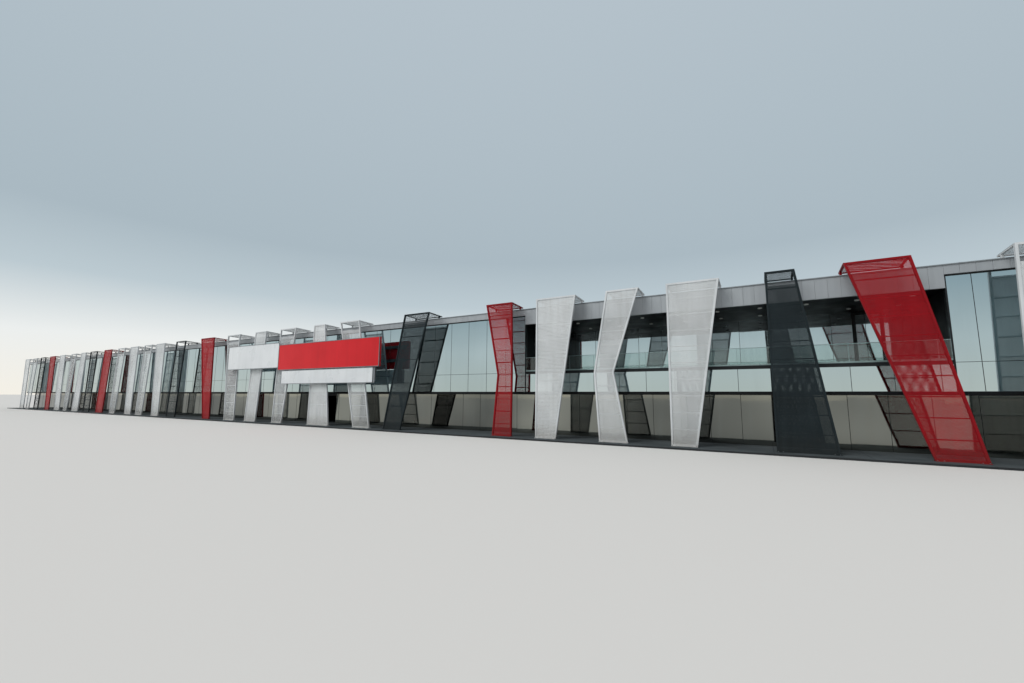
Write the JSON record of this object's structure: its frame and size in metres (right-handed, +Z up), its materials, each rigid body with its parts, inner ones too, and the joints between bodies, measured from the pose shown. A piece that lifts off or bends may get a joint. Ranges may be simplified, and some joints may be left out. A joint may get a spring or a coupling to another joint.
{
  "type": "supermarket building, 1:10 scale model",
  "caption": "Long flat-roofed supermarket building, 1:10 model, with mirror glazing, a set-back terrace and a row of leaning perforated fins in white, red and black.",
  "frame": {"origin": "middle of the footprint, on the ground under the floor slab", "axes": "+X along the front to the right as seen from outside, +Y into the building from the front, +Z up"},
  "size_m": [11.458, 3.771, 0.7346],
  "materials": {
    "concrete": "matte",
    "wall_panels": "satin",
    "fascia_cassettes": "satin",
    "coping_metal": "satin",
    "roof_membrane": "matte",
    "structural_steel": "satin",
    "dark_cladding": "satin",
    "window_frames": "satin",
    "upper_glazing": "gloss",
    "shop_glazing": "gloss",
    "balustrade_glazing": "gloss",
    "fin_white": "satin",
    "fin_red": "satin",
    "fin_black": "satin",
    "sign_white": "satin",
    "sign_red": "satin"
  },
  "bodies": {
    "root": {"back_wall": "wall_panels", "balustrade_glass": "balustrade_glazing", "balustrade_rail": "window_frames", "black_fin_21": "fin_black", "black_fin_26": "fin_black", "black_mesh": "fin_black", "bulkhead_slabs": "dark_cladding", "columns": "structural_steel", "coping": "coping_metal", "door_header": "window_frames", "end_walls": "wall_panels", "far_black_fins": "fin_black", "far_red_fins": "fin_red", "far_white_fins": "fin_white", "fascia": "fascia_cassettes", "floor_slab": "concrete", "loggia_cheeks": "dark_cladding", "loggia_soffit": "dark_cladding", "red_fin_22": "fin_red", "red_fin_27": "fin_red", "red_mesh": "fin_red", "roof_beams": "structural_steel", "roof_deck": "roof_membrane", "shop_front_frames": "window_frames", "shop_front_glass": "shop_glazing", "sign_box_red": "sign_red", "sign_boxes_white": "sign_white", "sign_rails": "structural_steel", "terrace_slab": "dark_cladding", "upper_glass": "upper_glazing", "upper_window_frames": "window_frames", "white_fin_23": "fin_white", "white_fin_24": "fin_white", "white_fin_25": "fin_white", "white_fin_28": "fin_white", "white_fin_29": "fin_white", "white_mesh": "fin_white"}
  },
  "joints": []
}
